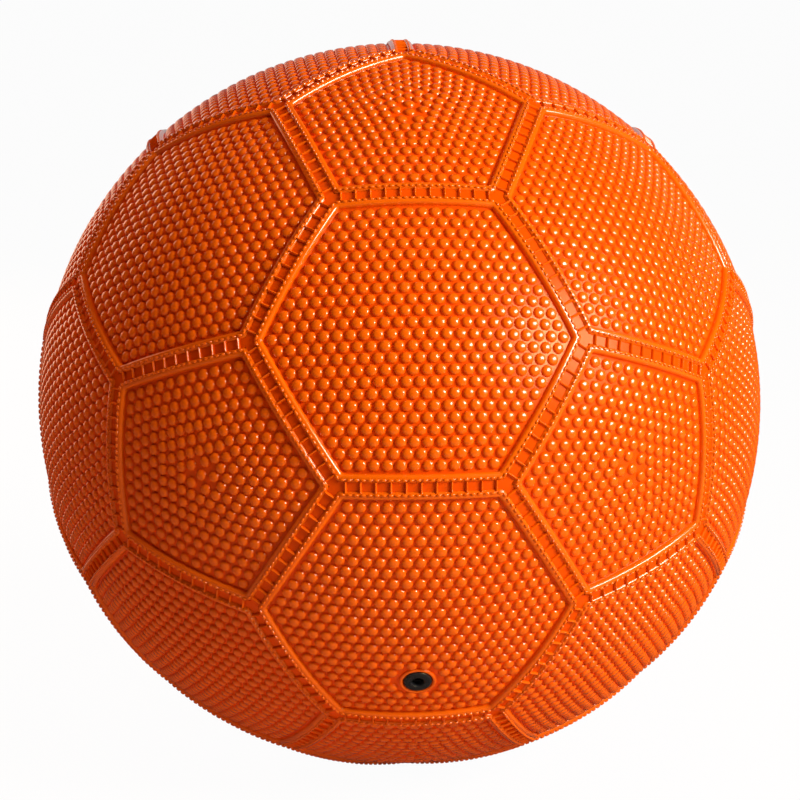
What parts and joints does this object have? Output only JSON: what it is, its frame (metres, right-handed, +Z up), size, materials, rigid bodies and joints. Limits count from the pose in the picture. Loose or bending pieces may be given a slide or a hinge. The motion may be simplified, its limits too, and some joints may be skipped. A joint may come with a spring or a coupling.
{
  "type": "handball",
  "caption": "Inflatable rubber handball with pebbled hexagon and pentagon panels, raised rails along ladder seams, and a pull-out valve plug that takes an inflating needle.",
  "frame": {"origin": "centre of the ball", "axes": "+Z up, -Y towards the viewer through the seam between the front hexagon and the valve panel, +X to the viewer's right; each axis leaves the ball through the middle of a hexagon-to-hexagon seam"},
  "size_m": [0.189, 0.189, 0.189],
  "materials": {
    "cover_rubber": "gloss",
    "carcass_rubber": "gloss",
    "winding_thread": "matte",
    "bladder_rubber": "matte",
    "valve_rubber": "satin"
  },
  "bodies": {
    "ball": {"hexagon_panel_01": "cover_rubber", "hexagon_panel_02": "cover_rubber", "hexagon_panel_03": "cover_rubber", "hexagon_panel_04": "cover_rubber", "hexagon_panel_05": "cover_rubber", "hexagon_panel_06": "cover_rubber", "hexagon_panel_07": "cover_rubber", "hexagon_panel_08": "cover_rubber", "hexagon_panel_09": "cover_rubber", "hexagon_panel_10": "cover_rubber", "hexagon_panel_11": "cover_rubber", "hexagon_panel_12": "cover_rubber", "hexagon_panel_13": "cover_rubber", "hexagon_panel_14": "cover_rubber", "hexagon_panel_15": "cover_rubber", "hexagon_panel_16": "cover_rubber", "hexagon_panel_17": "cover_rubber", "hexagon_panel_18": "cover_rubber", "hexagon_panel_19": "cover_rubber", "pentagon_panel_01": "cover_rubber", "pentagon_panel_02": "cover_rubber", "pentagon_panel_03": "cover_rubber", "pentagon_panel_04": "cover_rubber", "pentagon_panel_05": "cover_rubber", "pentagon_panel_06": "cover_rubber", "pentagon_panel_07": "cover_rubber", "pentagon_panel_08": "cover_rubber", "pentagon_panel_09": "cover_rubber", "pentagon_panel_10": "cover_rubber", "pentagon_panel_11": "cover_rubber", "pentagon_panel_12": "cover_rubber", "valve_panel": "cover_rubber", "carcass": "carcass_rubber", "thread_winding": "winding_thread", "bladder": "bladder_rubber", "valve_housing": "valve_rubber"},
    "plug": {"valve_plug": "valve_rubber"}
  },
  "joints": [
    {"name": "valve_plug_pull", "type": "slide", "parent": "ball", "child": "plug", "axis": [0, -0.8443, -0.5358], "range_m": [0, 0.018]}
  ]
}
